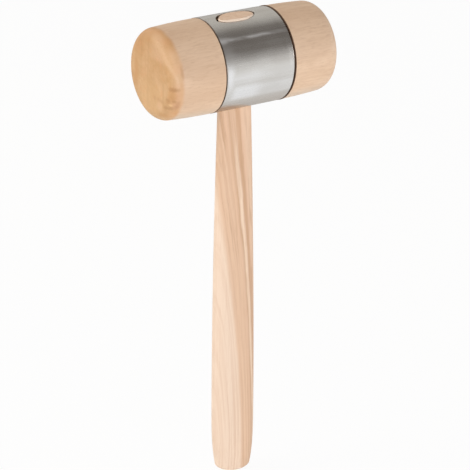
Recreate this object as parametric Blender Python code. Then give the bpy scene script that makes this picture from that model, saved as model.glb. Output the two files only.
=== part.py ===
"""Wooden mallet with a steel sleeve round its head, as four separate pieces.

Units are metres. The origin is the lowest point of the handle's butt, +Z runs up the handle
to the head, and +X runs along the head from one striking face to the other.
"""

import math

import bmesh
import bpy

# Head: a turned wooden barrel, grain along its length
HEAD_LENGTH = 0.1435
HEAD_RADIUS = 0.0351
HEAD_END_RADIUS = 0.0340
HEAD_END_ROUND = 0.0095

# Seat turned into the head for the sleeve, open by a little play at the +X shoulder
SEAT_PLAY = 0.0014
SEAT_OFFSET = 0.0013

# Steel sleeve, pushed against the seat's -X shoulder
SLEEVE_RADIUS = 0.0350
SLEEVE_WALL = 0.0015
SLEEVE_WIDTH = 0.0577
SLEEVE_LIP_HEIGHT = 0.0003
SLEEVE_LIP_WIDTH = 0.0016
SLEEVE_EDGE_ROUND = 0.0005
EYE_END_GAP = 0.0025
EYE_SIDE_GAP = 0.0007

# Handle: oval along its whole length, widest near the butt
HEAD_HEIGHT = 0.3395
GRIP_HEIGHT = 0.0470
GRIP_WIDTH = 0.0343
GRIP_THICKNESS = 0.0288
NECK_WIDTH = 0.0274
NECK_THICKNESS = 0.0166
NECK_TAPER_POWER = 1.9
BUTT_WIDTH = 0.0290
BUTT_DRAW_POWER = 2.7
BUTT_DOME_HEIGHT = 0.0045

# Tenon end of the handle, spread in the eye by the wedge and sawn off just under the sleeve's crest
TENON_TOP_WIDTH = 0.0278
TENON_SINK = 0.0003
TENON_CHAMFER = 0.0007

# Hardwood wedge, driven across the tenon's short way
WEDGE_DEPTH = 0.0450
WEDGE_TOP = 0.0045
WEDGE_TIP = 0.0012

# Clearance between pieces that fit together
FIT_GAP = 0.0003

# Facets
TURNED_STEPS = 72
OVAL_STEPS = 48
ROUND_STEPS = 6
DOME_STEPS = 5
BUTT_STEPS = 8
GRIP_STEPS = 12
FIRST_DOME_ANGLE = math.radians(18.0)
BARREL_SHARES = (0.0, 0.35, 0.7)
CUT_MARGIN = 0.010
MERGE_DISTANCE = 0.000001
SHARP_ANGLE = math.radians(35.0)

# Places that follow from the sizes above
SEAT_RADIUS = SLEEVE_RADIUS - SLEEVE_WALL - FIT_GAP
SEAT_WIDTH = FIT_GAP + SLEEVE_WIDTH + SEAT_PLAY
SEAT_LEFT = SEAT_OFFSET - SEAT_WIDTH / 2
SEAT_RIGHT = SEAT_OFFSET + SEAT_WIDTH / 2
SLEEVE_LEFT = SEAT_LEFT + FIT_GAP
SLEEVE_RIGHT = SLEEVE_LEFT + SLEEVE_WIDTH
HEAD_UNDERSIDE = HEAD_HEIGHT - SLEEVE_RADIUS
TENON_END = HEAD_HEIGHT + SLEEVE_RADIUS - TENON_SINK
WEDGE_BOTTOM = TENON_END - WEDGE_DEPTH


def clear_scene():
    for item in list(bpy.data.objects):
        bpy.data.objects.remove(item, do_unlink=True)


def wood_or_metal(name, color, roughness, metallic):
    material = bpy.data.materials.new(name)
    material.use_nodes = True
    shader = material.node_tree.nodes["Principled BSDF"]
    shader.inputs["Base Color"].default_value = (*color, 1.0)
    shader.inputs["Roughness"].default_value = roughness
    shader.inputs["Metallic"].default_value = metallic
    return material


def finish(bm, name, material=None):
    """Turn a closed bmesh into a scene object with outward faces."""
    bmesh.ops.recalc_face_normals(bm, faces=bm.faces)
    mesh = bpy.data.meshes.new(name)
    bm.to_mesh(mesh)
    bm.free()
    mesh.shade_smooth()
    mesh.set_sharp_from_angle(angle=SHARP_ANGLE)
    piece = bpy.data.objects.new(name, mesh)
    bpy.context.scene.collection.objects.link(piece)
    if material:
        mesh.materials.append(material)
    return piece


def cut(piece, cutter):
    """Take the cutter out of the piece, and keep the cutter as a wire guide."""
    cutter.hide_render = True
    cutter.display_type = 'WIRE'
    difference = piece.modifiers.new(cutter.name, 'BOOLEAN')
    difference.operation = 'DIFFERENCE'
    difference.solver = 'EXACT'
    difference.object = cutter


def turned(profile, closed):
    """Spin (x, radius) points about the head's axis; an open profile gets flat ends."""
    bm = bmesh.new()
    points = [bm.verts.new((x, 0.0, HEAD_HEIGHT + radius)) for x, radius in profile]
    pairs = list(zip(points, points[1:]))
    if closed:
        pairs.append((points[-1], points[0]))
    edges = [bm.edges.new(pair) for pair in pairs]
    bmesh.ops.spin(bm, geom=points + edges, cent=(0.0, 0.0, HEAD_HEIGHT), axis=(1.0, 0.0, 0.0),
                   angle=math.tau, steps=TURNED_STEPS)
    bmesh.ops.remove_doubles(bm, verts=bm.verts, dist=MERGE_DISTANCE)
    if not closed:
        rims = [edge for edge in bm.edges if edge.is_boundary]
        bmesh.ops.holes_fill(bm, edges=rims, sides=TURNED_STEPS)
    return bm


def lofted(rings):
    """Skin a run of rings that have the same number of points, with flat ends."""
    bm = bmesh.new()
    loops = [[bm.verts.new(point) for point in ring] for ring in rings]
    count = len(loops[0])
    for lower, upper in zip(loops, loops[1:]):
        for i in range(count):
            j = (i + 1) % count
            bm.faces.new((lower[i], lower[j], upper[j], upper[i]))
    bm.faces.new(loops[0])
    bm.faces.new(loops[-1])
    return bm


def oval(half_width, half_thickness, height):
    """Points round an ellipse about the handle's axis."""
    points = []
    for i in range(OVAL_STEPS):
        turn = math.tau * i / OVAL_STEPS
        points.append((half_width * math.cos(turn), half_thickness * math.sin(turn), height))
    return points


def mix(a, b, share):
    return a + (b - a) * share


def head_profile():
    """Outline from the -X face to the +X face: round, taper, seat, taper, round."""
    half = HEAD_LENGTH / 2
    corner = half - HEAD_END_ROUND
    flat_radius = HEAD_END_RADIUS - HEAD_END_ROUND
    round_off = []
    for i in range(ROUND_STEPS + 1):
        turn = math.pi / 2 * i / ROUND_STEPS
        x = corner + HEAD_END_ROUND * math.cos(turn)
        round_off.append((x, flat_radius + HEAD_END_ROUND * math.sin(turn)))

    def barrel(shoulder):
        """Points of the swelling side between a shoulder and the rounded end."""
        points = []
        for share in BARREL_SHARES:
            x = mix(abs(shoulder), corner, share)
            points.append((x, mix(HEAD_RADIUS, HEAD_END_RADIUS, share ** 2)))
        return points

    left = [(-x, radius) for x, radius in round_off]
    left += [(-x, radius) for x, radius in reversed(barrel(SEAT_LEFT))]
    seat = [(SEAT_LEFT, SEAT_RADIUS), (SEAT_RIGHT, SEAT_RADIUS)]
    return left + seat + barrel(SEAT_RIGHT) + list(reversed(round_off))


def sleeve_profile():
    """Closed outline of the sleeve's wall, with softly lipped rims."""
    outer = SLEEVE_RADIUS
    inner = SLEEVE_RADIUS - SLEEVE_WALL
    lip = SLEEVE_RADIUS + SLEEVE_LIP_HEIGHT
    edge = SLEEVE_EDGE_ROUND
    right = [(SLEEVE_RIGHT - SLEEVE_LIP_WIDTH, outer),
             (SLEEVE_RIGHT - edge, lip),
             (SLEEVE_RIGHT, lip - edge),
             (SLEEVE_RIGHT, inner)]
    left = [(SLEEVE_LEFT, inner),
            (SLEEVE_LEFT, lip - edge),
            (SLEEVE_LEFT + edge, lip),
            (SLEEVE_LEFT + SLEEVE_LIP_WIDTH, outer)]
    return right + left


def handle_half_sizes(height):
    """Half width and half thickness of the handle between the butt's dome and the head."""
    if height > GRIP_HEIGHT:
        rise = (height - GRIP_HEIGHT) / (HEAD_UNDERSIDE - GRIP_HEIGHT)
        share = rise ** NECK_TAPER_POWER
        return mix(GRIP_WIDTH, NECK_WIDTH, share) / 2, mix(GRIP_THICKNESS, NECK_THICKNESS, share) / 2
    fall = (GRIP_HEIGHT - height) / (GRIP_HEIGHT - BUTT_DOME_HEIGHT)
    scale = 1 - (1 - BUTT_WIDTH / GRIP_WIDTH) * fall ** BUTT_DRAW_POWER
    return GRIP_WIDTH / 2 * scale, GRIP_THICKNESS / 2 * scale


def handle_rings():
    """Rings from the butt's dome to the flat, chamfered end of the tenon."""
    rings = []
    butt_width, butt_thickness = handle_half_sizes(BUTT_DOME_HEIGHT)
    for i in range(DOME_STEPS):
        turn = mix(FIRST_DOME_ANGLE, math.pi / 2, i / DOME_STEPS)
        lift = BUTT_DOME_HEIGHT * (1 - math.cos(turn) / math.cos(FIRST_DOME_ANGLE))
        rings.append(oval(butt_width * math.sin(turn), butt_thickness * math.sin(turn), lift))
    for i in range(BUTT_STEPS):
        height = mix(BUTT_DOME_HEIGHT, GRIP_HEIGHT, i / BUTT_STEPS)
        rings.append(oval(*handle_half_sizes(height), height))
    for i in range(GRIP_STEPS + 1):
        height = mix(GRIP_HEIGHT, HEAD_UNDERSIDE, i / GRIP_STEPS)
        rings.append(oval(*handle_half_sizes(height), height))
    for inset in (0.0, TENON_CHAMFER):
        rings.append(oval(TENON_TOP_WIDTH / 2 - inset, NECK_THICKNESS / 2 - inset,
                          TENON_END - TENON_CHAMFER + inset))
    return rings


def mortise_rings():
    """The head's eye: the tenon's outline and its clearance, run past both sides of the head."""
    tenon_rise = TENON_END - TENON_CHAMFER - HEAD_UNDERSIDE
    slope = (TENON_TOP_WIDTH - NECK_WIDTH) / 2 / tenon_rise
    low = HEAD_UNDERSIDE - CUT_MARGIN
    high = TENON_END + CUT_MARGIN
    rings = []
    for height in (low, high):
        width = NECK_WIDTH / 2 + slope * (height - HEAD_UNDERSIDE) + FIT_GAP
        rings.append(oval(width, NECK_THICKNESS / 2 + FIT_GAP, height))
    return rings


def eye_rings():
    """The oval holes punched through the sleeve, wider than the tenon all round."""
    width = TENON_TOP_WIDTH / 2 + EYE_END_GAP
    thickness = NECK_THICKNESS / 2 + EYE_SIDE_GAP
    reach = SLEEVE_RADIUS + CUT_MARGIN
    return [oval(width, thickness, HEAD_HEIGHT + side * reach) for side in (-1, 1)]


def wedge_rings():
    """The wedge, cut flush with the tenon's end and no longer than its flat is thick."""
    reach = WEDGE_TOP / (TENON_TOP_WIDTH - 2 * TENON_CHAMFER)
    half = (NECK_THICKNESS / 2 - TENON_CHAMFER) * math.sqrt(1 - reach ** 2)
    tip = WEDGE_TIP / 2
    top = WEDGE_TOP / 2
    return [[(-tip, y, WEDGE_BOTTOM), (tip, y, WEDGE_BOTTOM), (top, y, TENON_END), (-top, y, TENON_END)]
            for y in (-half, half)]


def kerf_rings():
    """The saw cut that the wedge fills, with clearance, open at the top and at both sides."""
    slope = (WEDGE_TOP - WEDGE_TIP) / 2 / WEDGE_DEPTH
    low = WEDGE_BOTTOM - FIT_GAP
    high = TENON_END + CUT_MARGIN
    tip = WEDGE_TIP / 2 + FIT_GAP
    top = WEDGE_TIP / 2 + slope * (high - WEDGE_BOTTOM) + FIT_GAP
    reach = NECK_THICKNESS / 2 + CUT_MARGIN
    return [[(-tip, y, low), (tip, y, low), (top, y, high), (-top, y, high)] for y in (-reach, reach)]


def build():
    clear_scene()
    beech = wood_or_metal("beech", (0.62, 0.40, 0.24), 0.55, 0.0)
    steel = wood_or_metal("steel", (0.62, 0.62, 0.61), 0.30, 1.0)
    ash = wood_or_metal("ash", (0.70, 0.49, 0.32), 0.55, 0.0)
    wedge_wood = wood_or_metal("wedge_wood", (0.58, 0.36, 0.21), 0.60, 0.0)

    head = finish(turned(head_profile(), closed=False), "head", beech)
    sleeve = finish(turned(sleeve_profile(), closed=True), "sleeve", steel)
    handle = finish(lofted(handle_rings()), "handle", ash)
    finish(lofted(wedge_rings()), "wedge", wedge_wood)

    cut(head, finish(lofted(mortise_rings()), "mortise_cutter"))
    cut(sleeve, finish(lofted(eye_rings()), "eye_cutter"))
    cut(handle, finish(lofted(kerf_rings()), "kerf_cutter"))


build()
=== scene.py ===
"""Looks of the wooden mallet: fine meshes, procedural wood and steel, camera and studio light.

Everything is in metres in the CAD frame: origin under the handle's butt, +Z up the handle,
+X along the head and -Y to the front.
"""

import math

import bmesh
import bpy
from mathutils import Matrix, Vector


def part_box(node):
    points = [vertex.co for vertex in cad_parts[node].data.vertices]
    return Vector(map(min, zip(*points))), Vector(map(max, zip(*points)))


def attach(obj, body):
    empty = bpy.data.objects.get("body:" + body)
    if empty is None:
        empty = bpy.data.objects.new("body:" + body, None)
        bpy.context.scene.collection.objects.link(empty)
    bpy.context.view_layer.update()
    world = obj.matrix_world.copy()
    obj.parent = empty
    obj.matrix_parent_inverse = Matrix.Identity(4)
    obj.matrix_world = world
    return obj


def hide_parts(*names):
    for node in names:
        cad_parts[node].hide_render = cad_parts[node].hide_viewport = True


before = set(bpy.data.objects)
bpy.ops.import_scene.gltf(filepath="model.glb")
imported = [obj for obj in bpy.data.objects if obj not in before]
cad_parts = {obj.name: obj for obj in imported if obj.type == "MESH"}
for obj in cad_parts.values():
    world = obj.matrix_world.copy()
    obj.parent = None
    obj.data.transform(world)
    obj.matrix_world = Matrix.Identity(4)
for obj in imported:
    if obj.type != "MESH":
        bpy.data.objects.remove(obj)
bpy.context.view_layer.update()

# Sizes read from the frame
HEAD_LOW, HEAD_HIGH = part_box("head")
SLEEVE_LOW, SLEEVE_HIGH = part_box("sleeve")
HANDLE_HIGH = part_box("handle")[1]
WEDGE_LOW, WEDGE_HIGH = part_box("wedge")
HEAD_HALF = HEAD_HIGH.x
HEAD_RADIUS = HEAD_HIGH.y
AXIS_Z = (HEAD_LOW.z + HEAD_HIGH.z) / 2
SLEEVE_LEFT = SLEEVE_LOW.x
SLEEVE_RIGHT = SLEEVE_HIGH.x
SLEEVE_RADIUS = SLEEVE_HIGH.y
GRIP_HALF_WIDTH = HANDLE_HIGH.x
GRIP_HALF_THICKNESS = HANDLE_HIGH.y

# Head shape
HEAD_END_RADIUS = 0.0340
HEAD_END_ROUND = 0.0095
SEAT_LEFT_GAP = 0.0003
SEAT_RIGHT_GAP = 0.0014
SEAT_RADIUS = 0.0332
SHOULDER_ROUND = 0.0002
SHOULDER_FLARE = 0.00035
FLARE_WIDTH = 0.0040
MORTISE_SIDE_GAP = 0.0002

# Sleeve shape
SLEEVE_WALL = 0.0015
SLEEVE_EDGE = 0.00030
SLEEVE_EDGE_SEGMENTS = 3
SLEEVE_EDGE_ANGLE = math.radians(40)
RIM_ROLL = 0.00016
RIM_ROLL_WIDTH = 0.0050
EYE_HALF_LENGTH = 0.0161
EYE_HALF_WIDTH = 0.0086
EYE_CENTRE = Vector((-0.0023, -0.0034))
LOWER_EYE_PLAY = 0.0006
EYE_PATCH_HALF = 0.0215
EYE_PATCH_TURN = math.radians(30)

# Handle and wedge shape
GRIP_HEIGHT = 0.0470
NECK_HALF_WIDTH = 0.0137
NECK_HALF_THICKNESS = 0.0083
NECK_TAPER_POWER = 1.9
NECK_Z = AXIS_Z - SLEEVE_RADIUS
BUTT_HALF_WIDTH = 0.0145
BUTT_DRAW_POWER = 2.7
BUTT_DOME_HEIGHT = 0.0045
TENON_RISE = 0.0349
TENON_Z = AXIS_Z + TENON_RISE
TENON_TOP_HALF_WIDTH = 0.0147
TENON_CHAMFER = 0.0007
TENON_FRONT_BREAK = 0.0008
TENON_BACK_BREAK = 0.0002
TENON_OFFSET = Vector((-0.0014, -0.0033))
ELLIPSE_POWER = 2.0
LEFT_POWER = 2.5
LEFT_SLANT = 0.58
WEDGE_TIP_HALF = 0.0006
WEDGE_SEAM = 0.00004
WEDGE_INSET = 0.0001

# Cutters and meshes: how far cutters reach past what they cut, angles that stay sharp, steps
CUT_REACH = 0.01
WOOD_SHARP_ANGLE = math.radians(35)
STEEL_SHARP_ANGLE = math.radians(60)
RING_STEPS = 224
OVAL_STEPS = 120
FACE_SHARES = (0.05, 0.4, 0.75)
END_ROUND_STEPS = 20
BARREL_STEPS = 30
MORTISE_STEPS = 8
RIM_ROWS = 10
EYE_ROWS = 16
EYE_STEPS = 24
BAND_STEPS = 60
EYE_SHARES = (0.78, 0.55, 0.35, 0.2, 0.1, 0.0)
BUTT_STEPS = 14
GRIP_STEPS = 24
NECK_STEPS = 60
TENON_STEPS = 12
CHAMFER_SHARES = (0.0, 0.1, 0.9, 1.0)
WEDGE_STEPS = 32

# How the tables below are read. A noise gives its cells per metre along X, Y and Z, then its detail,
# roughness and distortion. A span names the value it follows, where it starts and ends, and what it goes
# between when that isn't 0 and 1. A region multiplies its spans. A layer is a region and its tone.
# Heights are over the head's axis, and turns about it are from the top toward the front.

# Studio: the world by direction, the floor, and lamps as name, place, aim, size, power and tone
WORLD_HORIZON = (0.96, 0.96, 0.96, 1.0)
WORLD_FRONT = (0.190, 0.172, 0.160, 1.0)
WORLD_BACK = (0.65, 0.622, 0.582, 1.0)
WORLD_BACK_HORIZON = (0.60, 0.58, 0.55, 1.0)
FRONT_TO_BACK = ("y", -0.08, 0.48)
HORIZON_TO_BACK = ("y", 0.20, 0.75)
HORIZON_TO_OVERHEAD = ("z", -0.18, 0.52)
FLOOR_REACH = 12.0
FLOOR_TONE = (0.86, 0.86, 0.86, 1.0)
FLOOR_ROUGHNESS = 0.9
FLOOR_WHITE = (1.0, 1.0, 1.0, 1.0)
FLOOR_GLOW = 0.95
FLOOR_MIRRORED_GLOW = ("y", 0.0, 0.5, 0.80, 0.0)
LAMP_AIM = (0.0, 0.0, 0.22)
HEAD_AIM = (0.0, 0.0, 0.30)
WHITE_LIGHT = (1.0, 1.0, 1.0)
WARM_LIGHT = (1.0, 0.95, 0.88)
LAMPS = [("front", (-0.55, -2.1, 0.42), LAMP_AIM, (2.0, 0.8), 17.8, WHITE_LIGHT),
         ("left", (-2.1, -0.9, 0.45), LAMP_AIM, (1.2, 0.8), 6.1, WHITE_LIGHT),
         ("right", (2.1, -1.1, 0.45), LAMP_AIM, (1.2, 0.8), 12.9, WHITE_LIGHT),
         ("back_high", (-1.2, 0.9, 1.7), HEAD_AIM, (1.4, 1.2), 21.4, WARM_LIGHT)]

# Camera fitted to the photograph
VIEW_AZIMUTH = math.radians(32.10)
VIEW_ELEVATION = math.radians(23.20)
VIEW_ROLL = math.radians(0.37)
VIEW_DISTANCE = 1.6137
VIEW_TARGET = Vector((0.0014, 0.0, AXIS_Z - 0.1402))
VIEW_END = 100.0
SENSOR = 36.0
FOCAL_PIXELS = 2126.0
PHOTO_WIDTH = 470.0


def srgb(red, green, blue):
    """Linear colour for a 0 to 255 display colour."""
    def linear(level):
        level /= 255
        return level / 12.92 if level <= 0.04045 else ((level + 0.055) / 1.055) ** 2.4
    return (linear(red), linear(green), linear(blue), 1.0)


# Beech of the head
PINK_BEECH = srgb(221, 189, 160)
PALE_BEECH = srgb(233, 203, 175)
FIBRE_BEECH = srgb(206, 168, 135)
FLECK_BEECH = srgb(186, 144, 112)
BOUNCE_LIT_BEECH = srgb(226, 208, 188)
LIGHT_END_GRAIN = srgb(217, 177, 131)
WARM_END_GRAIN = srgb(206, 161, 112)
DEEP_END_GRAIN = srgb(188, 138, 88)
ROUND_END_GRAIN = srgb(222, 171, 124)
WORN_AND_HIGHLIGHT_END_GRAIN = srgb(238, 204, 168)
MOTTLED_END_GRAIN = srgb(216, 160, 110)
KNOT_BROWN = srgb(180, 127, 76)
KNOT_ORANGE = srgb(203, 150, 96)
KNOT_LIGHT = srgb(242, 205, 152)
RED_BROWN = srgb(196, 142, 104)
SEAM_SHADE_BROWN = srgb(104, 79, 62)
MORTISE_SHADE_BROWN = srgb(46, 32, 24)
BEECH_NOISES = {"soft": ((12.0, 60.0, 60.0), 3.0),
                "fibre": ((60.0, 600.0, 600.0), 4.0, 0.7),
                "fleck": ((190.0, 900.0, 900.0), 1.0),
                "blotch": ((20.0, 55.0, 55.0), 3.0, 0.6, 0.4),
                "pores": ((300.0, 900.0, 900.0), 2.0),
                "rays": ((30.0, 300.0, 26.0), 2.0),
                "mottle": ((90.0, 170.0, 170.0), 3.0, 0.6),
                "smoke": ((500.0, 500.0, 500.0), 3.0)}
SOFT_SHARE = ("soft", 0.30, 0.70)
SIDE_LAYERS = [([("fibre", 0.40, 0.70, 0.0, 0.34)], FIBRE_BEECH),
               ([("fleck", 0.52, 0.72, 0.0, 0.17)], FLECK_BEECH),
               # Painted bounce light: the head's underside is made paler, as if lit from the floor
               ([("height", -0.020, -0.030, 0.0, 0.70)], BOUNCE_LIT_BEECH)]

# End grain: growth rings about the pith, the flat face, the rounding, and where both give way to the side
PITH_Y = 0.024
PITH_HEIGHT = -0.030
RINGS_PER_METRE = 190.0
RING_WAVER = 3.0
FACE_SHARE = ("blotch", 0.32, 0.68)
FACE_LAYERS = [([("rings", 0.2, 1.0, 0.0, 0.10)], DEEP_END_GRAIN),
               ([("rays", 0.50, 0.72, 0.0, 0.30)], DEEP_END_GRAIN)]
ROUNDING = ("outward", HEAD_HALF - 0.0004, HEAD_HALF - 0.0050)
ROUND_SHARE = ("blotch", 0.35, 0.65, 0.0, 0.6)
FRONT_SIDE = ("y", -0.016, -0.024)
END_LAYERS = [([("pores", 0.50, 0.72, 0.0, 0.22)], DEEP_END_GRAIN),
              ([("mottle", 0.48, 0.72, 0.0, 0.45)], MOTTLED_END_GRAIN),
              ([("mottle", 0.46, 0.28, 0.0, 0.30)], LIGHT_END_GRAIN),
              ([("height", 0.012, 0.026, 0.0, 0.34), ("y", -0.026, -0.016)], DEEP_END_GRAIN),
              ([("height", 0.000, -0.008, 0.0, 0.20), ("y", -0.022, -0.014), ("y", 0.020, 0.006)],
               KNOT_LIGHT),
              ([FRONT_SIDE, ROUNDING, ("height", 0.029, 0.021), ("height", -0.006, 0.018, 0.0, 0.45)],
               WORN_AND_HIGHLIGHT_END_GRAIN),
              ([FRONT_SIDE, ROUNDING, ("height", 0.010, -0.002), ("height", -0.022, -0.014, 0.0, 0.30)],
               PINK_BEECH)]
END_WANDER = 0.004
LEFT_END = ("wandering_x", -0.0610, -0.0652)
RIGHT_END = ("wandering_x", HEAD_HALF - 0.0026, HEAD_HALF - 0.0004)

# Painted highlight along the left end's ridge: its place along X by height, how ragged it is, and its
# fading
RIDGE_X = ("height", 0.003, 0.018, -0.0670, -0.0710)
RIDGE_RAGGED = 0.002
RIDGE = [("off_ridge", 0.0000, 0.0021, 0.44, 0.0), ("blotch", 0.34, 0.58, 0.45, 1.0),
         ("y", 0.004, -0.012), ("height", -0.006, 0.006)]

# Marks of the left end, the knot among them. Each has its place as X, turn in degrees and radius, its reach
# along X, Y and Z, its tone and its depth
END_MARKS = [((-0.0636, 72.0, 0.0339), (0.0018, 0.0040, 0.0080), RED_BROWN, 0.45),
             ((-0.0659, 115.0, 0.0333), (0.0024, 0.0040, 0.0050), RED_BROWN, 0.50),
             ((-0.0700, 104.0, 0.0300), (0.0040, 0.0050, 0.0070), KNOT_ORANGE, 0.62),
             ((-0.0698, 94.0, 0.0302), (0.0060, 0.0060, 0.0025), KNOT_BROWN, 0.62),
             ((-0.0711, 114.0, 0.0278), (0.0020, 0.0028, 0.0036), KNOT_BROWN, 0.45),
             ((-0.0710, 129.0, 0.0278), (0.0028, 0.0032, 0.0022), KNOT_BROWN, 0.36),
             ((-0.0693, 124.5, 0.0309), (0.0035, 0.0036, 0.0024), KNOT_BROWN, 0.38),
             ((-0.0682, 111.0, 0.0319), (0.0030, 0.0034, 0.0022), KNOT_BROWN, 0.36),
             ((-0.0668, 121.0, 0.0325), (0.0030, 0.0035, 0.0046), RED_BROWN, 0.40),
             ((-0.0698, 119.0, 0.0302), (0.0030, 0.0026, 0.0015), KNOT_LIGHT, 0.48),
             ((-0.0698, 147.0, 0.0303), (0.0050, 0.0085, 0.0034), KNOT_ORANGE, 0.50),
             ((-0.0717, 152.0, 0.0160), (0.0030, 0.0034, 0.0022), RED_BROWN, 0.35),
             ((-0.0717, 138.0, 0.0191), (0.0030, 0.0034, 0.0022), RED_BROWN, 0.35),
             ((-0.0717, 129.0, 0.0226), (0.0030, 0.0034, 0.0022), RED_BROWN, 0.35),
             ((-0.0717, 144.0, 0.0236), (0.0030, 0.0056, 0.0050), WORN_AND_HIGHLIGHT_END_GRAIN, 0.32),
             ((-0.0712, -96.0, 0.0190), (0.0030, 0.0048, 0.0160), KNOT_ORANGE, 0.60)]
MARK_RAGGED = 0.8
MARK_FADE = ("off_mark", 0.15, 1.10, 1.0, 0.0)

# Painted shade in the seams between head and sleeve, which close up at the top of the left rim, and in the
# mortise
SEAM_REGIONS = [[("radius", HEAD_RADIUS - 0.00030, HEAD_RADIUS - 0.00005, 0.96, 0.0)],
                [("off_shoulder", 0.0001, 0.0004, 0.96, 0.0)]]
SEAM_REACH = 0.004
CLOSED_SEAM_Y = 0.006
CLOSED_SEAM = ("off_closed", 0.0068, 0.0112, 0.15, 1.0)
MORTISE = [("off_middle", 0.0200, 0.0190),
           ("radius", SEAT_RADIUS - 0.0001, SEAT_RADIUS - 0.0004, 0.0, 0.9)]
BEECH_ROUGHNESS = ("fibre", 0.3, 0.7, 0.44, 0.56)
BEECH_SPECULAR = 0.5
FIBRE_DEPTH = 0.00003

# Ash of the handle, and its growth layers as distance across the layers and tone
PALE_ASH = srgb(249, 225, 204)
WARM_ASH = srgb(239, 207, 180)
TAN_ASH = srgb(234, 199, 170)
MID_ASH = srgb(226, 188, 157)
DEEP_ASH = srgb(213, 173, 141)
BRIGHT_ASH = srgb(248, 223, 199)
STREAK_ASH = srgb(200, 158, 124)
THIN_LINE = srgb(228, 194, 167)
FIBRE_ASH = srgb(217, 180, 151)
PORE_ASH = srgb(196, 156, 124)
TENON_EDGE = srgb(252, 231, 212)
TENON_PALE = srgb(243, 215, 190)
TENON_TAN = srgb(226, 189, 160)
ASH_NOISES = {"waver": ((28.0, 28.0, 9.0), 2.0),
              "feather": ((260.0, 260.0, 22.0), 4.0, 0.65),
              "fibre": ((1100.0, 1100.0, 16.0), 3.0, 0.6),
              "pore": ((2200.0, 2200.0, 90.0), 1.0),
              "end_lines": ((160.0, 900.0, 900.0), 3.0, 0.6)}
GRAIN_ACROSS = Vector((0.847, -0.531))
GRAIN_TOWARD = Vector((-0.531, -0.847))
GRAIN_SWEEP = 0.476
GRAIN_CLOSING = 17.1
GROWTH_SHIFTS = (("waver", 0.0008), ("feather", 0.0015))
GROWTH_LAYERS = [(-0.0100, PALE_ASH), (0.0060, PALE_ASH), (0.0086, TAN_ASH), (0.0090, MID_ASH),
                 (0.0098, TAN_ASH), (0.0104, WARM_ASH), (0.0111, TAN_ASH), (0.0117, MID_ASH),
                 (0.0123, WARM_ASH), (0.0130, MID_ASH), (0.0141, TAN_ASH), (0.0154, DEEP_ASH),
                 (0.0160, BRIGHT_ASH), (0.0165, BRIGHT_ASH), (0.0172, DEEP_ASH), (0.0181, DEEP_ASH),
                 (0.0190, TAN_ASH), (0.0200, WARM_ASH), (0.0210, TAN_ASH)]
LAYERS_FROM = GROWTH_LAYERS[0][0]
LAYERS_TO = GROWTH_LAYERS[-1][0]
BRIGHT_LAYER = 0.01625

# Lines over the growth layers: cells per metre across the layers and along Z, and detail
STREAK_LINES = (1300.0, 22.0, 3.0)
RING_LINES = (520.0, 5.0, 2.0)
RING_LEAN = -0.5
TAN_SIDE = ("label", 0.0062, 0.0096)
ASH_LAYERS = [([("off_bright", 0.0003, 0.0009, 1.0, 0.0), ("z", 0.255, 0.292, 0.0, 0.80)], DEEP_ASH),
              ([("label", 0.0070, 0.0088), ("label", 0.0146, 0.0156, 0.7, 0.0),
                ("z", 0.06, 0.12), ("z", 0.20, 0.26, 1.0, 0.0)], TAN_ASH),
              ([("streak", 0.48, 0.74, 0.0, 0.40), TAN_SIDE, ("z", 0.12, 0.27, 0.6, 1.5)], STREAK_ASH),
              ([("streak", 0.46, 0.26, 0.0, 0.45), TAN_SIDE], WARM_ASH),
              ([("ring", 0.46, 0.66, 0.0, 0.34), ("z", 0.05, 0.11, 1.8, 1.0),
                ("label", -0.008, 0.000, 0.5, 1.0)], THIN_LINE),
              ([("fibre", 0.42, 0.75, 0.0, 0.22)], FIBRE_ASH),
              ([("pore", 0.62, 0.75, 0.0, 0.16)], PORE_ASH)]
TENON_TOP = ("up", 0.85, 0.95)
TENON_SHARE = ("end_lines", 0.36, 0.68)
ASH_ROUGHNESS = ("fibre", 0.3, 0.7, 0.46, 0.58)
ASH_SPECULAR = 0.35

# Hardwood of the wedge
WEDGE_NOISES = {"fibre": ((1500.0, 900.0, 300.0), 3.0)}
WEDGE_SHARE = ("fibre", 0.3, 0.7)
WEDGE_SIDES = ("up", 0.95, 0.85)
WEDGE_ROUGHNESS = ("fibre", 0.3, 0.7, 0.55, 0.65)

# Steel of the sleeve, its turns in radians
STEEL_DIM = srgb(209, 207, 203)
STEEL_BRIGHT = srgb(218, 217, 214)
STEEL_SHADE = srgb(196, 192, 187)
STEEL_POLISH_AND_HIGHLIGHT = srgb(238, 239, 241)
STEEL_DARK_UNDERSIDE_REFLECTION = srgb(176, 167, 158)
RIM_SCALE_AND_SHADE = srgb(100, 77, 61)
STEEL_NOISES = {"brush": ((18.0, 1500.0, 1500.0), 3.0, 0.6),
                "drawn": ((9.0, 190.0, 190.0), 2.0),
                "smudge": ((40.0, 70.0, 70.0), 3.0),
                "wobble": ((45.0, 8.0, 8.0), 2.0),
                "worn_patch": ((90.0, 260.0, 260.0), 3.0)}
SMUDGE_SHARE = ("smudge", 0.3, 0.7)
DRAWN_SHADE = ("drawn", 0.38, 0.66, 0.0, 0.45)
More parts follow.
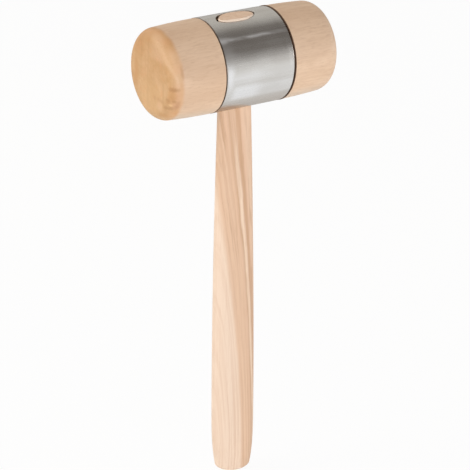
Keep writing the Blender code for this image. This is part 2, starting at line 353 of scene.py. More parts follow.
# Painted highlights on the steel: near the rims, partly burnish, and across the front and lower down, kept
# to the turns that catch the lamps
HIGHLIGHT_END = ("turn", 1.60, 2.10, 1.0, 0.0)
LEFT_POLISH_AND_HIGHLIGHT = [("from_left", 0.0005, 0.0022), ("from_left", 0.0030, 0.0095, 0.8, 0.0),
               ("turn", 1.20, 1.50), HIGHLIGHT_END]
RIGHT_POLISH_AND_HIGHLIGHT = [("from_right", 0.0010, 0.0024), ("from_right", 0.0026, 0.0050, 0.15, 0.0),
                ("turn", 0.55, 1.30), HIGHLIGHT_END]
FRONT_HIGHLIGHT = [("turn", 1.42, 1.62), ("drawn", 0.34, 0.66, 0.50, 0.15),
                ("x", -0.008, 0.010, 1.0, 0.25), HIGHLIGHT_END]
LOW_HIGHLIGHT = [("turn", 1.70, 1.88), ("turn", 2.06, 2.22, 1.0, 0.0),
              ("from_left", 0.003, 0.010, 0.15, 0.75), ("x", -0.006, 0.006, 1.0, 0.40)]
POLISH_AND_HIGHLIGHT_REGIONS = [LEFT_POLISH_AND_HIGHLIGHT, RIGHT_POLISH_AND_HIGHLIGHT, FRONT_HIGHLIGHT, LOW_HIGHLIGHT]
# Painted darker reflections: a band high on the right of the front, and the underside
PAINTED_DARK_REFLECTIONS = [([("turn", 0.98, 1.12), ("turn", 1.34, 1.50, 1.0, 0.0), ("x", 0.000, 0.016, 0.0, 0.70)],
                STEEL_SHADE),
               ([("off_top", 2.00, 2.45, 0.0, 0.85)], STEEL_DARK_UNDERSIDE_REFLECTION)]

# The scuff across the steel's front, partly painted highlight: turn, half width, fading, wear, and a haze
# of painted highlight below
SCUFF_TURN = math.radians(45)
SCUFF_WOBBLE = 0.09
SCUFF_HALF_TURN = ("from_left", 0.000, 0.016, 0.150, 0.070)
SCUFF = [("off_scuff", 0.0, 1.0, 1.0, 0.0), ("x", 0.012, 0.032, 1.0, 0.40),
         ("from_left", 0.002, 0.016, 1.0, 0.70)]
SCUFF_WEAR = [[("worn_patch", 0.30, 0.66, 0.35, 1.0)], [("from_left", 0.004, 0.011, 0.72, 0.0)]]
HAZE_HIGHLIGHT = [("turn", 0.72, 0.86), ("turn", 1.00, 1.25, 1.0, 0.0), ("from_left", 0.003, 0.012, 0.20, 0.0)]
SCUFF_ROUGHNESS = 0.40

# Rims of the steel, dark with painted seam shade, cut edges partly scale and partly painted shade, and
# satin
RIM_REGIONS = [[("from_left", 0.00030, 0.00075, 0.94, 0.0)],
               [("from_right", 0.00005, 0.00035, 0.94, 0.0)]]
CUT_EDGE = ("facing", 0.50, 0.85, 0.75, 0.0)
SMUDGE_ROUGHNESS = ("smudge", 0.3, 0.7, 0.24, 0.27)
BRUSH_ROUGHNESS = ("brush", 0.3, 0.7, 0.0, 0.03)
BRUSH_DEPTH = 0.0000006


def mix(a, b, share):
    return a + (b - a) * share


def smooth(low, high, value):
    share = min(max((value - low) / (high - low), 0.0), 1.0)
    return share * share * (3 - 2 * share)


def steps_between(low, high, count):
    """Even steps from low, high left out."""
    return [mix(low, high, i / count) for i in range(count)]


def about_head(x, turn, radius):
    """Point at a turn about the head's axis, from the top toward the front."""
    return Vector((x, -radius * math.sin(turn), AXIS_Z + radius * math.cos(turn)))


# Meshes

def add_object(bm, name):
    bmesh.ops.recalc_face_normals(bm, faces=bm.faces)
    mesh = bpy.data.meshes.new(name)
    bm.to_mesh(mesh)
    bm.free()
    mesh.shade_smooth()
    piece = bpy.data.objects.new(name, mesh)
    bpy.context.scene.collection.objects.link(piece)
    return piece


def apply_modifiers(piece, sharp_angle):
    """Keep the evaluated mesh as the piece's own mesh, smooth up to the given angle."""
    bpy.context.view_layer.update()
    graph = bpy.context.evaluated_depsgraph_get()
    mesh = bpy.data.meshes.new_from_object(piece.evaluated_get(graph))
    piece.modifiers.clear()
    piece.data = mesh
    mesh.shade_smooth()
    mesh.set_sharp_from_angle(angle=sharp_angle)


def subtract(piece, cutter):
    difference = piece.modifiers.new("cut", 'BOOLEAN')
    difference.solver = 'EXACT'
    difference.object = cutter
    apply_modifiers(piece, WOOD_SHARP_ANGLE)
    bpy.data.objects.remove(cutter, do_unlink=True)


def bridge(bm, lower, upper):
    """Faces between two loops of as many vertices."""
    count = len(lower)
    for i in range(count):
        j = (i + 1) % count
        bm.faces.new((lower[i], lower[j], upper[j], upper[i]))


def loft(rings):
    bm = bmesh.new()
    loops = [[bm.verts.new(point) for point in ring] for ring in rings]
    for lower, upper in zip(loops, loops[1:]):
        bridge(bm, lower, upper)
    bm.faces.new(loops[0])
    bm.faces.new(loops[-1])
    return bm


def up_tenon(height):
    """Zero below the head, growing to one at the tenon's end."""
    return max(height - NECK_Z, 0.0) / (TENON_Z - NECK_Z)


def section(turn, half_width, half_thickness, share):
    """Point of an oval whose left end grows blunt and slanted with the share."""
    across = math.cos(turn)
    along = math.sin(turn)
    if across < 0:
        power = ELLIPSE_POWER / mix(ELLIPSE_POWER, LEFT_POWER, share)
        across = -abs(across) ** power
        along = math.copysign(abs(along) ** power, along)
    y = half_thickness * along
    return Vector((half_width * across + LEFT_SLANT * share * y * max(-across, 0.0), y))


def set_off(x, y, height):
    """A point of the handle, moved off the axis on its way up through the head."""
    place = Vector((x, y)) + TENON_OFFSET * up_tenon(height)
    return Vector((place.x, place.y, height))


def oval(half_width, half_thickness, height, y=0.0):
    """Ring of the handle's section at a height, its middle at y."""
    points = []
    for i in range(OVAL_STEPS):
        turn = math.tau * i / OVAL_STEPS
        place = section(turn, half_width, half_thickness, min(up_tenon(height), 1.0))
        points.append(set_off(place.x, place.y + y, height))
    return points


def tenon_end(y):
    """Height of the tenon's end across its middle: a flat cut with its edge broken, most at the front."""
    width = TENON_FRONT_BREAK if y < 0 else TENON_BACK_BREAK
    past_flat = max(abs(y) - (NECK_HALF_THICKNESS - width), 0.0)
    return TENON_Z - TENON_CHAMFER * past_flat / width


def ring_about_head(x, radius):
    return [about_head(x, math.tau * i / RING_STEPS, radius) for i in range(RING_STEPS)]


def flare(off_shoulder):
    """How far the wood stands up beside the right rim."""
    return SHOULDER_FLARE * (1 - smooth(0.0, FLARE_WIDTH, off_shoulder))


def head_end(shoulder, side):
    """(x, radius) points from the flat face's rim to the seat's shoulder, on one side."""
    corner = HEAD_HALF - HEAD_END_ROUND
    points = [(side * HEAD_HALF, (HEAD_END_RADIUS - HEAD_END_ROUND) * share) for share in FACE_SHARES]
    for i in range(END_ROUND_STEPS + 1):
        turn = math.pi / 2 * i / END_ROUND_STEPS
        x = corner + HEAD_END_ROUND * math.cos(turn)
        points.append((side * x, HEAD_END_RADIUS - HEAD_END_ROUND * (1 - math.sin(turn))))
    for i in range(1, BARREL_STEPS + 1):
        share = 1 - i / BARREL_STEPS
        x = mix(abs(shoulder) + SHOULDER_ROUND, corner, share)
        points.append((side * x, mix(HEAD_RADIUS, HEAD_END_RADIUS, share ** 2)))
    if side > 0:
        points = [(x, radius + flare(x - shoulder)) for x, radius in points]
    points.append((shoulder, points[-1][1] - SHOULDER_ROUND))
    points.append((shoulder, SEAT_RADIUS))
    return points


def make_head():
    """The turned head with the sleeve's seat, and the mortise cut through it."""
    left = head_end(SLEEVE_LEFT - SEAT_LEFT_GAP, -1)
    right = head_end(SLEEVE_RIGHT + SEAT_RIGHT_GAP, 1)
    profile = left + list(reversed(right))
    head = add_object(loft([ring_about_head(x, radius) for x, radius in profile]), "mallet_head")
    heights = steps_between(NECK_Z, AXIS_Z + SLEEVE_RADIUS + CUT_REACH, MORTISE_STEPS)
    mortise = [oval(EYE_HALF_LENGTH, NECK_HALF_THICKNESS + MORTISE_SIDE_GAP, height)
               for height in [NECK_Z - CUT_REACH] + heights]
    subtract(head, add_object(loft(mortise), "mortise_cutter"))
    return head


def on_sleeve(x, turn):
    """Point of the sleeve's outside, which rolls in a little at the right rim."""
    roll = RIM_ROLL * (1 - smooth(0.0, RIM_ROLL_WIDTH, SLEEVE_RIGHT - x))
    return about_head(x, turn, SLEEVE_RADIUS - roll)


def eye_point(x, turn, upper):
    """Point of the eye's rim toward a point of the sheet, as x and turn from the eye's own side."""
    if upper:
        side, share, centre = -1, 1.0, EYE_CENTRE
        half_length, half_width = EYE_HALF_LENGTH, EYE_HALF_WIDTH
    else:
        side, share, centre = 1, 0.0, Vector((0.0, 0.0))
        half_length, half_width = NECK_HALF_WIDTH + LOWER_EYE_PLAY, NECK_HALF_THICKNESS + LOWER_EYE_PLAY
    offset = Vector((x, side * SLEEVE_RADIUS * math.sin(turn))) - centre
    aim = math.atan2(offset.y / half_width, offset.x / half_length)
    rim = section(aim, half_length, half_width, share) + centre
    return rim.x, math.asin(side * rim.y / SLEEVE_RADIUS)


def sleeve_sheet():
    """A sheet with no thickness: a grid with a patch above and one below, each fitted to its eye."""
    xs = steps_between(SLEEVE_LEFT, -EYE_PATCH_HALF, RIM_ROWS)
    xs += steps_between(-EYE_PATCH_HALF, EYE_PATCH_HALF, EYE_ROWS)
    xs += steps_between(EYE_PATCH_HALF, SLEEVE_RIGHT, RIM_ROWS) + [SLEEVE_RIGHT]
    turns = []
    for centre in (0.0, math.pi):
        turns += steps_between(centre - EYE_PATCH_TURN, centre + EYE_PATCH_TURN, EYE_STEPS)
        turns += steps_between(centre + EYE_PATCH_TURN, centre + math.pi - EYE_PATCH_TURN, BAND_STEPS)
    first, last = RIM_ROWS, RIM_ROWS + EYE_ROWS
    half_round = EYE_STEPS + BAND_STEPS

    bm = bmesh.new()
    grid = {}
    for i, x in enumerate(xs):
        for j, turn in enumerate(turns):
            if not (first < i < last and 0 < j % half_round < EYE_STEPS):
                grid[i, j] = bm.verts.new(on_sleeve(x, turn))
    for i in range(len(xs) - 1):
        for j in range(len(turns)):
            nxt = (j + 1) % len(turns)
            if not (first <= i < last and j % half_round < EYE_STEPS):
                bm.faces.new([grid[key] for key in ((i, j), (i + 1, j), (i + 1, nxt), (i, nxt))])

    for start, centre, upper in ((0, 0.0, True), (half_round, math.pi, False)):
        border = [(i, start) for i in range(first, last)]
        border += [(last, start + j) for j in range(EYE_STEPS)]
        border += [(i, start + EYE_STEPS) for i in range(last, first, -1)]
        border += [(first, start + j) for j in range(EYE_STEPS, 0, -1)]
        loop = [grid[key] for key in border]
        for share in EYE_SHARES:
            ring = []
            for i, j in border:
                turn = turns[j] - centre
                eye_x, eye_turn = eye_point(xs[i], turn, upper)
                place = on_sleeve(mix(eye_x, xs[i], share), centre + mix(eye_turn, turn, share))
                ring.append(bm.verts.new(place))
            bridge(bm, loop, ring)
            loop = ring
    return bm


def make_sleeve():
    """The sheet turned outward, thickened inward, its edges softened."""
    sleeve = add_object(sleeve_sheet(), "mallet_sleeve")
    mesh = sleeve.data
    probe = mesh.polygons[len(mesh.polygons) // 2]
    outward = Vector((0.0, probe.center.y, probe.center.z - AXIS_Z))
    if probe.normal.dot(outward) < 0:
        mesh.flip_normals()
    wall = sleeve.modifiers.new("wall", 'SOLIDIFY')
    wall.thickness = SLEEVE_WALL
    wall.offset = -1.0
    soft = sleeve.modifiers.new("soft_edges", 'BEVEL')
    soft.width = SLEEVE_EDGE
    soft.segments = SLEEVE_EDGE_SEGMENTS
    soft.limit_method = 'ANGLE'
    soft.angle_limit = SLEEVE_EDGE_ANGLE
    apply_modifiers(sleeve, STEEL_SHARP_ANGLE)
    return sleeve


def handle_half_sizes(height):
    if height > GRIP_HEIGHT:
        share = ((height - GRIP_HEIGHT) / (NECK_Z - GRIP_HEIGHT)) ** NECK_TAPER_POWER
        return (mix(GRIP_HALF_WIDTH, NECK_HALF_WIDTH, share),
                mix(GRIP_HALF_THICKNESS, NECK_HALF_THICKNESS, share))
    fall = (GRIP_HEIGHT - height) / (GRIP_HEIGHT - BUTT_DOME_HEIGHT)
    scale = 1 - (1 - BUTT_HALF_WIDTH / GRIP_HALF_WIDTH) * fall ** BUTT_DRAW_POWER
    return GRIP_HALF_WIDTH * scale, GRIP_HALF_THICKNESS * scale


def make_handle():
    """Domed butt, grip, neck, tenon and the tenon's chamfered end, with the kerf cut into it."""
    rings = []
    width, thickness = handle_half_sizes(BUTT_DOME_HEIGHT)
    for i in range(1, BUTT_STEPS):
        turn = math.pi / 2 * i / BUTT_STEPS
        lift = BUTT_DOME_HEIGHT * (1 - math.cos(turn))
        rings.append(oval(width * math.sin(turn), thickness * math.sin(turn), lift))
    heights = steps_between(BUTT_DOME_HEIGHT, GRIP_HEIGHT, GRIP_STEPS)
    heights += steps_between(GRIP_HEIGHT, NECK_Z, NECK_STEPS) + [NECK_Z]
    for height in heights:
        rings.append(oval(*handle_half_sizes(height), height))
    for i in range(1, TENON_STEPS):
        share = i / TENON_STEPS
        rings.append(oval(mix(NECK_HALF_WIDTH, TENON_TOP_HALF_WIDTH, share), NECK_HALF_THICKNESS,
                          mix(NECK_Z, TENON_Z - TENON_CHAMFER, share)))
    for share in CHAMFER_SHARES:
        inset = TENON_CHAMFER * share
        thinner = (TENON_FRONT_BREAK + TENON_BACK_BREAK) / 2 * share
        back = (TENON_FRONT_BREAK - TENON_BACK_BREAK) / 2 * share
        rings.append(oval(TENON_TOP_HALF_WIDTH - inset, NECK_HALF_THICKNESS - thinner,
                          TENON_Z - TENON_CHAMFER + inset, y=back))
    handle = add_object(loft(rings), "mallet_handle")
    subtract(handle, add_object(loft(wedge_rings(WEDGE_SEAM, CUT_REACH)), "kerf_cutter"))
    return handle


def wedge_rings(gap, reach):
    """Cross sections of the wedge, or of its kerf when gap and reach are above zero."""
    half = NECK_HALF_THICKNESS - WEDGE_INSET
    low = WEDGE_LOW.z - gap
    tip_half = WEDGE_TIP_HALF + gap
    spread = (WEDGE_HIGH.x - WEDGE_TIP_HALF) / (WEDGE_HIGH.z - WEDGE_LOW.z)
    rings = []
    for i in range(WEDGE_STEPS + 1):
        y = half * math.sin(mix(-math.pi / 2, math.pi / 2, i / WEDGE_STEPS))
        top = tenon_end(y) + reach
        top_half = WEDGE_TIP_HALF + spread * (top - WEDGE_LOW.z) + gap
        y *= (half + reach) / half
        rings.append([set_off(-tip_half, y, low), set_off(tip_half, y, low),
                      set_off(top_half, y, top), set_off(-top_half, y, top)])
    return rings


def make_wedge():
    wedge = add_object(loft(wedge_rings(0.0, 0.0)), "mallet_wedge")
    wedge.data.set_sharp_from_angle(angle=WOOD_SHARP_ANGLE)
    return wedge


# Materials

class Nodes:
    """Short names for building a node tree. The values that vary by place are kept by name in at."""

    def __init__(self, tree, space):
        self.tree = tree
        self.coords = self.add("ShaderNodeTexCoord").outputs
        self.point = self.coords[space]
        self.at = dict(zip("xyz", self.split(self.point)))

    def add(self, kind):
        return self.tree.nodes.new(kind)

    def plug(self, socket, value):
        """Link a value by name or by socket, or set a constant."""
        if isinstance(value, str):
            value = self.at[value]
        if isinstance(value, bpy.types.NodeSocket):
            self.tree.links.new(value, socket)
        else:
            socket.default_value = value

    def feed(self, node, *values):
        """Plug values into the node's open sockets in turn, and give its open output."""
        sockets = [socket for socket in node.inputs if socket.enabled]
        for socket, value in zip(sockets, values):
            self.plug(socket, value)
        return next(socket for socket in node.outputs if socket.enabled)

    def math(self, operation, *values):
        node = self.add("ShaderNodeMath")
        node.operation = operation
        return self.feed(node, *values)

    def vector(self, operation, *values):
        node = self.add("ShaderNodeVectorMath")
        node.operation = operation
        return self.feed(node, *values)

    def blend(self, share, first, second):
        node = self.add("ShaderNodeMix")
        node.data_type = 'RGBA'
        return self.feed(node, share, first, second)

    def split(self, vector):
        node = self.add("ShaderNodeSeparateXYZ")
        self.plug(node.inputs[0], vector)
        return node.outputs

    def join(self, x, y, z):
        return self.feed(self.add("ShaderNodeCombineXYZ"), x, y, z)

    def noise(self, vector, detail, roughness=0.5, distortion=0.0):
        node = self.add("ShaderNodeTexNoise")
        self.plug(node.inputs["Vector"], vector)
        node.inputs["Scale"].default_value = 1.0
        node.inputs["Detail"].default_value = detail
        node.inputs["Roughness"].default_value = roughness
        node.inputs["Distortion"].default_value = distortion
        return node.outputs["Fac"]

    def cells(self, per_metre):
        """The place in cells of a noise."""
        node = self.add("ShaderNodeMapping")
        self.plug(node.inputs["Vector"], self.point)
        node.inputs["Scale"].default_value = per_metre
        return node.outputs[0]

    def bump(self, height, distance):
        node = self.add("ShaderNodeBump")
        node.inputs["Strength"].default_value = 1.0
        node.inputs["Distance"].default_value = distance
        self.plug(node.inputs["Height"], height)
        return node.outputs[0]

    def difference(self, value, level):
        """How far the value is from the level, either way."""
        return self.math('ABSOLUTE', self.math('SUBTRACT', value, level))

    def diagonal(self, first, second):
        """Distance that two sides at right angles span."""
        squares = [self.math('MULTIPLY', side, side) for side in (first, second)]
        return self.math('SQRT', self.math('ADD', *squares))

    def swing(self, noise, reach):
        """A noise about zero, over the given reach."""
        return self.math('MULTIPLY', self.math('SUBTRACT', noise, 0.5), reach)

    def product(self, result, *others):
        for value in others:
            result = self.math('MULTIPLY', result, value)
        return result

    def span(self, name, low, high, to_low=0.0, to_high=1.0, kind='SMOOTHSTEP'):
        """From to_low at low to to_high at high, and level beyond them."""
        node = self.add("ShaderNodeMapRange")
        node.interpolation_type = kind
        return self.feed(node, name, low, high, to_low, to_high)

    def region(self, spans):
        """The product of the spans."""
        return self.product(*[self.span(*span) for span in spans])

    def widest(self, regions):
        """The largest of the regions' shares."""
        shares = [self.region(spans) for spans in regions]
        result = shares[0]
        for share in shares[1:]:
            result = self.math('MAXIMUM', result, share)
        return result

    def layered(self, color, layers):
        """The colour with each layer's tone laid over it in turn."""
        for spans, tone in layers:
            color = self.blend(self.region(spans), color, tone)
        return color


class Surface(Nodes):
    """A material's node tree, its noises in place."""

    def __init__(self, name, noises):
        self.material = bpy.data.materials.new(name)
        self.material.use_nodes = True
        super().__init__(self.material.node_tree, "Object")
        self.shader = self.tree.nodes["Principled BSDF"]
        for noise, (per_metre, *settings) in noises.items():
            self.at[noise] = self.noise(self.cells(per_metre), *settings)

    def set(self, name, value):
        self.plug(self.shader.inputs[name], value)


def open_seam(n):
    """Share of painted shade in the seams at the sleeve's rims: the left one closes up at the top."""
    n.at["off_closed"] = n.difference("y", CLOSED_SEAM_Y)
    on_right = n.math('GREATER_THAN', "x", 0.0)
    below_axis = n.math('LESS_THAN', "height", 0.0)
    return n.math('MAXIMUM', n.span(*CLOSED_SEAM), n.math('MAXIMUM', on_right, below_axis))


def end_grain(n):
    """Flat face and rounding of the head's ends, with a painted highlight along the left one's ridge."""
    from_pith = n.diagonal(n.math('SUBTRACT', "y", PITH_Y), n.math('SUBTRACT', "height", PITH_HEIGHT))
    waver = n.math('MULTIPLY', "blotch", RING_WAVER)
    wave = n.math('ADD', n.math('MULTIPLY', from_pith, RINGS_PER_METRE), waver)
    n.at["rings"] = n.math('SINE', n.math('MULTIPLY', wave, math.tau))
    n.at["outward"] = n.math('ABSOLUTE', "x")
    face = n.layered(n.blend(n.span(*FACE_SHARE), LIGHT_END_GRAIN, WARM_END_GRAIN), FACE_LAYERS)
    round_tone = n.blend(n.span(*ROUND_SHARE), ROUND_END_GRAIN, LIGHT_END_GRAIN)
    color = n.layered(n.blend(n.span(*ROUNDING), face, round_tone), END_LAYERS)
    past_ridge = n.math('SUBTRACT', "x", n.span(*RIDGE_X))
    n.at["off_ridge"] = n.math('ABSOLUTE', n.math('ADD', past_ridge, n.swing("pores", RIDGE_RAGGED)))
    # Painted highlight along the left end's ridge, between face and rounding
    return n.blend(n.region(RIDGE), color, WORN_AND_HIGHLIGHT_END_GRAIN)


def marked(n, color):
    """The colour with the left end's marks over it, each fading toward a ragged edge."""
    for (x, turn, radius), reach, tone, depth in END_MARKS:
        node = n.add("ShaderNodeMapping")
        node.vector_type = 'TEXTURE'
        n.plug(node.inputs["Vector"], n.point)
        node.inputs["Location"].default_value = about_head(x, math.radians(turn), radius)
        node.inputs["Scale"].default_value = reach
        from_middle = n.vector('LENGTH', node.outputs[0])
        n.at["off_mark"] = n.math('ADD', from_middle, n.swing("smoke", MARK_RAGGED))
        color = n.blend(n.product(n.span(*MARK_FADE), depth), color, tone)
    return color


def rim_seams(n):
    """Share of painted shade in the gaps between the wood and the sleeve's rims."""
    n.at["off_shoulder"] = n.difference("x", SLEEVE_RIGHT + SEAT_RIGHT_GAP)
    near_rim = n.math('COMPARE', "off_middle", (SLEEVE_RIGHT - SLEEVE_LEFT) / 2, SEAM_REACH)
    return n.product(n.widest(SEAM_REGIONS), near_rim, open_seam(n))


def head_wood():
    """Beech: short fibres and flecks along the head, warm end grain, a small knot on the left end, and
    painted light and shade.
    """
    n = Surface("head_beech", BEECH_NOISES)
    n.at["height"] = n.math('SUBTRACT', "z", AXIS_Z)
    n.at["radius"] = n.diagonal("y", "height")
    n.at["off_middle"] = n.difference("x", (SLEEVE_LEFT + SLEEVE_RIGHT) / 2)
    n.at["wandering_x"] = n.math('ADD', "x", n.swing("blotch", END_WANDER))
    side = n.layered(n.blend(n.span(*SOFT_SHARE), PINK_BEECH, PALE_BEECH), SIDE_LAYERS)
    color = marked(n, n.blend(n.widest([[LEFT_END], [RIGHT_END]]), side, end_grain(n)))
    # Painted shade in the seams beside the sleeve's rims
    color = n.blend(rim_seams(n), color, SEAM_SHADE_BROWN)
    # Painted shade on the mortise's walls
    n.set("Base Color", n.blend(n.region(MORTISE), color, MORTISE_SHADE_BROWN))
    n.set("Roughness", n.span(*BEECH_ROUGHNESS))
    n.set("Normal", n.bump("fibre", FIBRE_DEPTH))
    n.set("Specular IOR Level", BEECH_SPECULAR)
    return n.material


def growth_ramp(n):
    """Tone of each growth layer of the handle, by its distance across the layers."""
    node = n.add("ShaderNodeValToRGB")
    n.plug(node.inputs[0], n.span("label", LAYERS_FROM, LAYERS_TO, kind='LINEAR'))
    stops = node.color_ramp.elements
    while len(stops) < len(GROWTH_LAYERS):
        stops.new(1.0)
    for stop, (place, tone) in zip(stops, GROWTH_LAYERS):
        stop.position = (place - LAYERS_FROM) / (LAYERS_TO - LAYERS_FROM)
        stop.color = tone
    return node.outputs[0]


def along(n, direction):
    """How far a point is along a level direction."""
    return n.math('ADD', n.math('MULTIPLY', "x", direction.x), n.math('MULTIPLY', "y", direction.y))


def growth_label(n):
    """Distance across the growth layers, which lean over and close up toward the head."""
    rise = n.math('MULTIPLY', "z", "z")
    sweep = n.math('ADD', along(n, GRAIN_ACROSS), n.math('MULTIPLY', rise, GRAIN_SWEEP))
    label = n.math('DIVIDE', sweep, n.math('ADD', n.math('MULTIPLY', rise, GRAIN_CLOSING), 1.0))
    for noise, reach in GROWTH_SHIFTS:
        label = n.math('ADD', label, n.swing(noise, reach))
    return label


def layer_lines(n, label, across, up, detail):
    """Noise drawn out along the handle, following the growth layers."""
    place = n.join(n.math('MULTIPLY', label, across), n.math('MULTIPLY', "z", up), 0.0)
    return n.noise(place, detail)


def handle_wood():
    """Ash: growth layers that sweep across the handle, pale on one side and tan on the other."""
    n = Surface("handle_ash", ASH_NOISES)
    n.at["label"] = growth_label(n)
    n.at["off_bright"] = n.difference("label", BRIGHT_LAYER)
    n.at["streak"] = layer_lines(n, "label", *STREAK_LINES)
    leaning_label = n.math('ADD', "label", n.math('MULTIPLY', along(n, GRAIN_TOWARD), RING_LEAN))
    n.at["ring"] = layer_lines(n, leaning_label, *RING_LINES)
    n.at["up"] = n.split(n.coords["Normal"])["Z"]
    in_eye = n.math('GREATER_THAN', "z", AXIS_Z)
    color = n.blend(in_eye, n.layered(growth_ramp(n), ASH_LAYERS), TENON_EDGE)
    end_tone = n.blend(n.span(*TENON_SHARE), TENON_PALE, TENON_TAN)
    n.set("Base Color", n.blend(n.product(n.span(*TENON_TOP), in_eye), color, end_tone))
    n.set("Roughness", n.span(*ASH_ROUGHNESS))
    n.set("Normal", n.bump("fibre", FIBRE_DEPTH))
    n.set("Specular IOR Level", ASH_SPECULAR)
    return n.material


def wedge_wood():
    """Hardwood with the tenon's tones, its sides pale."""
    n = Surface("wedge_hardwood", WEDGE_NOISES)
    n.at["up"] = n.split(n.coords["Normal"])["Z"]
    tone = n.blend(n.span(*WEDGE_SHARE), TENON_PALE, TENON_TAN)
    n.set("Base Color", n.blend(n.span(*WEDGE_SIDES), tone, TENON_EDGE))
    n.set("Roughness", n.span(*WEDGE_ROUGHNESS))
    n.set("Normal", n.bump("fibre", FIBRE_DEPTH))
    return n.material


def scuff_share(n):
    """The scuff across the front, wear and painted highlight: wavering, wider and more worn at the left, a
    painted highlight as haze below its start.
    """
    wavering = n.math('ADD', "turn", n.swing("wobble", SCUFF_WOBBLE))
    n.at["off_scuff"] = n.math('DIVIDE', n.difference(wavering, SCUFF_TURN), n.span(*SCUFF_HALF_TURN))
    scuff = n.product(n.region(SCUFF), n.widest(SCUFF_WEAR))
    # Painted highlight: the haze below the scuff's start
    return n.math('MAXIMUM', scuff, n.region(HAZE_HIGHLIGHT))


def sleeve_steel():
    """Satin steel: drawing bands, burnish and painted highlights, a scuff, painted darker reflections and
    dark edges.
    """
    n = Surface("sleeve_steel", STEEL_NOISES)
    n.at["height"] = n.math('SUBTRACT', "z", AXIS_Z)
    n.at["turn"] = n.math('ARCTAN2', n.math('MULTIPLY', "y", -1.0), "height")
    n.at["off_top"] = n.math('ABSOLUTE', "turn")
    n.at["from_left"] = n.math('SUBTRACT', "x", SLEEVE_LEFT)
    n.at["from_right"] = n.math('SUBTRACT', SLEEVE_RIGHT, "x")
    outward = n.vector('NORMALIZE', n.join(0.0, "y", "height"))
    n.at["facing"] = n.vector('DOT_PRODUCT', outward, n.coords["Normal"])
    scuff = scuff_share(n)
    color = n.blend(n.span(*SMUDGE_SHARE), STEEL_DIM, STEEL_BRIGHT)
    color = n.blend(n.span(*DRAWN_SHADE), color, STEEL_SHADE)
    # Painted highlights near the rims, across the front and lower down; those at the rims are partly
    # burnish
    color = n.blend(n.widest(POLISH_AND_HIGHLIGHT_REGIONS), color, STEEL_POLISH_AND_HIGHLIGHT)
    # Painted darker reflections, then the scuff
    color = n.blend(scuff, n.layered(color, PAINTED_DARK_REFLECTIONS), STEEL_POLISH_AND_HIGHLIGHT)
    # Painted shade: the rims darkened beside the seams, and the cut edges and inner faces, partly scale
    rim = n.product(n.widest(RIM_REGIONS), open_seam(n))
    n.set("Base Color", n.blend(n.math('MAXIMUM', rim, n.span(*CUT_EDGE)), color, RIM_SCALE_AND_SHADE))
    n.set("Metallic", 1.0)
    satin = n.math('ADD', n.span(*SMUDGE_ROUGHNESS), n.span(*BRUSH_ROUGHNESS))
    n.set("Roughness", n.math('ADD', satin, n.math('MULTIPLY', scuff, SCUFF_ROUGHNESS)))
    n.set("Normal", n.bump("brush", BRUSH_DEPTH))
    return n.material


# Stage, light and camera

def make_floor():
    """A pale floor that takes the shadow and looks white. In mirrored rays it fades toward the back."""
    bm = bmesh.new()
    corners = ((-1, -1), (1, -1), (1, 1), (-1, 1))
    bm.faces.new([bm.verts.new((FLOOR_REACH * x, FLOOR_REACH * y, 0.0)) for x, y in corners])
    floor = add_object(bm, "floor")
    n = Surface("floor_white", {})
    n.set("Base Color", FLOOR_TONE)
    n.set("Roughness", FLOOR_ROUGHNESS)
    glow = n.feed(n.add("ShaderNodeEmission"), FLOOR_WHITE, 1.0)
    path = n.add("ShaderNodeLightPath").outputs
    share = n.math('MULTIPLY', path["Is Camera Ray"], FLOOR_GLOW)
    share = n.math('MULTIPLY_ADD', path["Is Glossy Ray"], n.span(*FLOOR_MIRRORED_GLOW), share)
    share = n.math('MULTIPLY_ADD', path["Is Transmission Ray"], FLOOR_GLOW, share)
    both = n.feed(n.add("ShaderNodeMixShader"), share, n.shader.outputs[0], glow)
    n.plug(n.tree.nodes["Material Output"].inputs["Surface"], both)
    floor.data.materials.append(n.material)


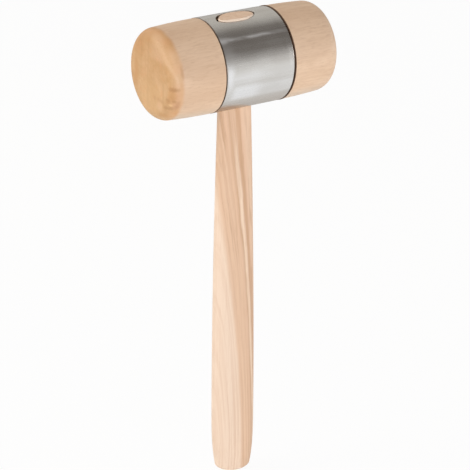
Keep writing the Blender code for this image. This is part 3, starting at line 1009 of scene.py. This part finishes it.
def make_world():
    """White at the front's horizon, greyer at the back's, dim overhead in front, soft grey behind."""
    world = bpy.data.worlds.new("studio")
    bpy.context.scene.world = world
    world.use_nodes = True
    n = Nodes(world.node_tree, "Generated")
    overhead = n.blend(n.span(*FRONT_TO_BACK), WORLD_FRONT, WORLD_BACK)
    horizon = n.blend(n.span(*HORIZON_TO_BACK), WORLD_HORIZON, WORLD_BACK_HORIZON)
    sky = n.blend(n.span(*HORIZON_TO_OVERHEAD), horizon, overhead)
    n.plug(n.tree.nodes["Background"].inputs["Color"], sky)


def add_lamp(name, place, aim, size, power, tone):
    lamp = bpy.data.lights.new(name, 'AREA')
    lamp.color = tone
    lamp.shape = 'RECTANGLE'
    lamp.size, lamp.size_y = size
    lamp.energy = power
    item = bpy.data.objects.new(name, lamp)
    bpy.context.scene.collection.objects.link(item)
    item.location = place
    item.rotation_euler = (Vector(aim) - Vector(place)).to_track_quat('-Z', 'Y').to_euler()


def make_camera():
    data = bpy.data.cameras.new("photo_view")
    data.sensor_width = SENSOR
    data.lens = SENSOR * FOCAL_PIXELS / PHOTO_WIDTH
    data.clip_end = VIEW_END
    camera = bpy.data.objects.new("photo_view", data)
    bpy.context.scene.collection.objects.link(camera)
    level = math.cos(VIEW_ELEVATION)
    away = Vector((-math.sin(VIEW_AZIMUTH) * level, -math.cos(VIEW_AZIMUTH) * level,
                   math.sin(VIEW_ELEVATION)))
    turn = (-away).to_track_quat('-Z', 'Y').to_matrix().to_4x4() @ Matrix.Rotation(VIEW_ROLL, 4, 'Z')
    camera.matrix_world = Matrix.Translation(VIEW_TARGET + VIEW_DISTANCE * away) @ turn
    bpy.context.scene.camera = camera


def dress(piece, node, material):
    """Give a piece its material, and say what it rides on and what it replaces."""
    piece.data.materials.clear()
    piece.data.materials.append(material)
    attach(piece, "root")
    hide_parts(node)


dress(make_head(), "head", head_wood())
dress(make_sleeve(), "sleeve", sleeve_steel())
dress(make_handle(), "handle", handle_wood())
dress(make_wedge(), "wedge", wedge_wood())

make_floor()
make_world()
for lamp_settings in LAMPS:
    add_lamp(*lamp_settings)
make_camera()
bpy.context.scene.view_settings.view_transform = "Standard"
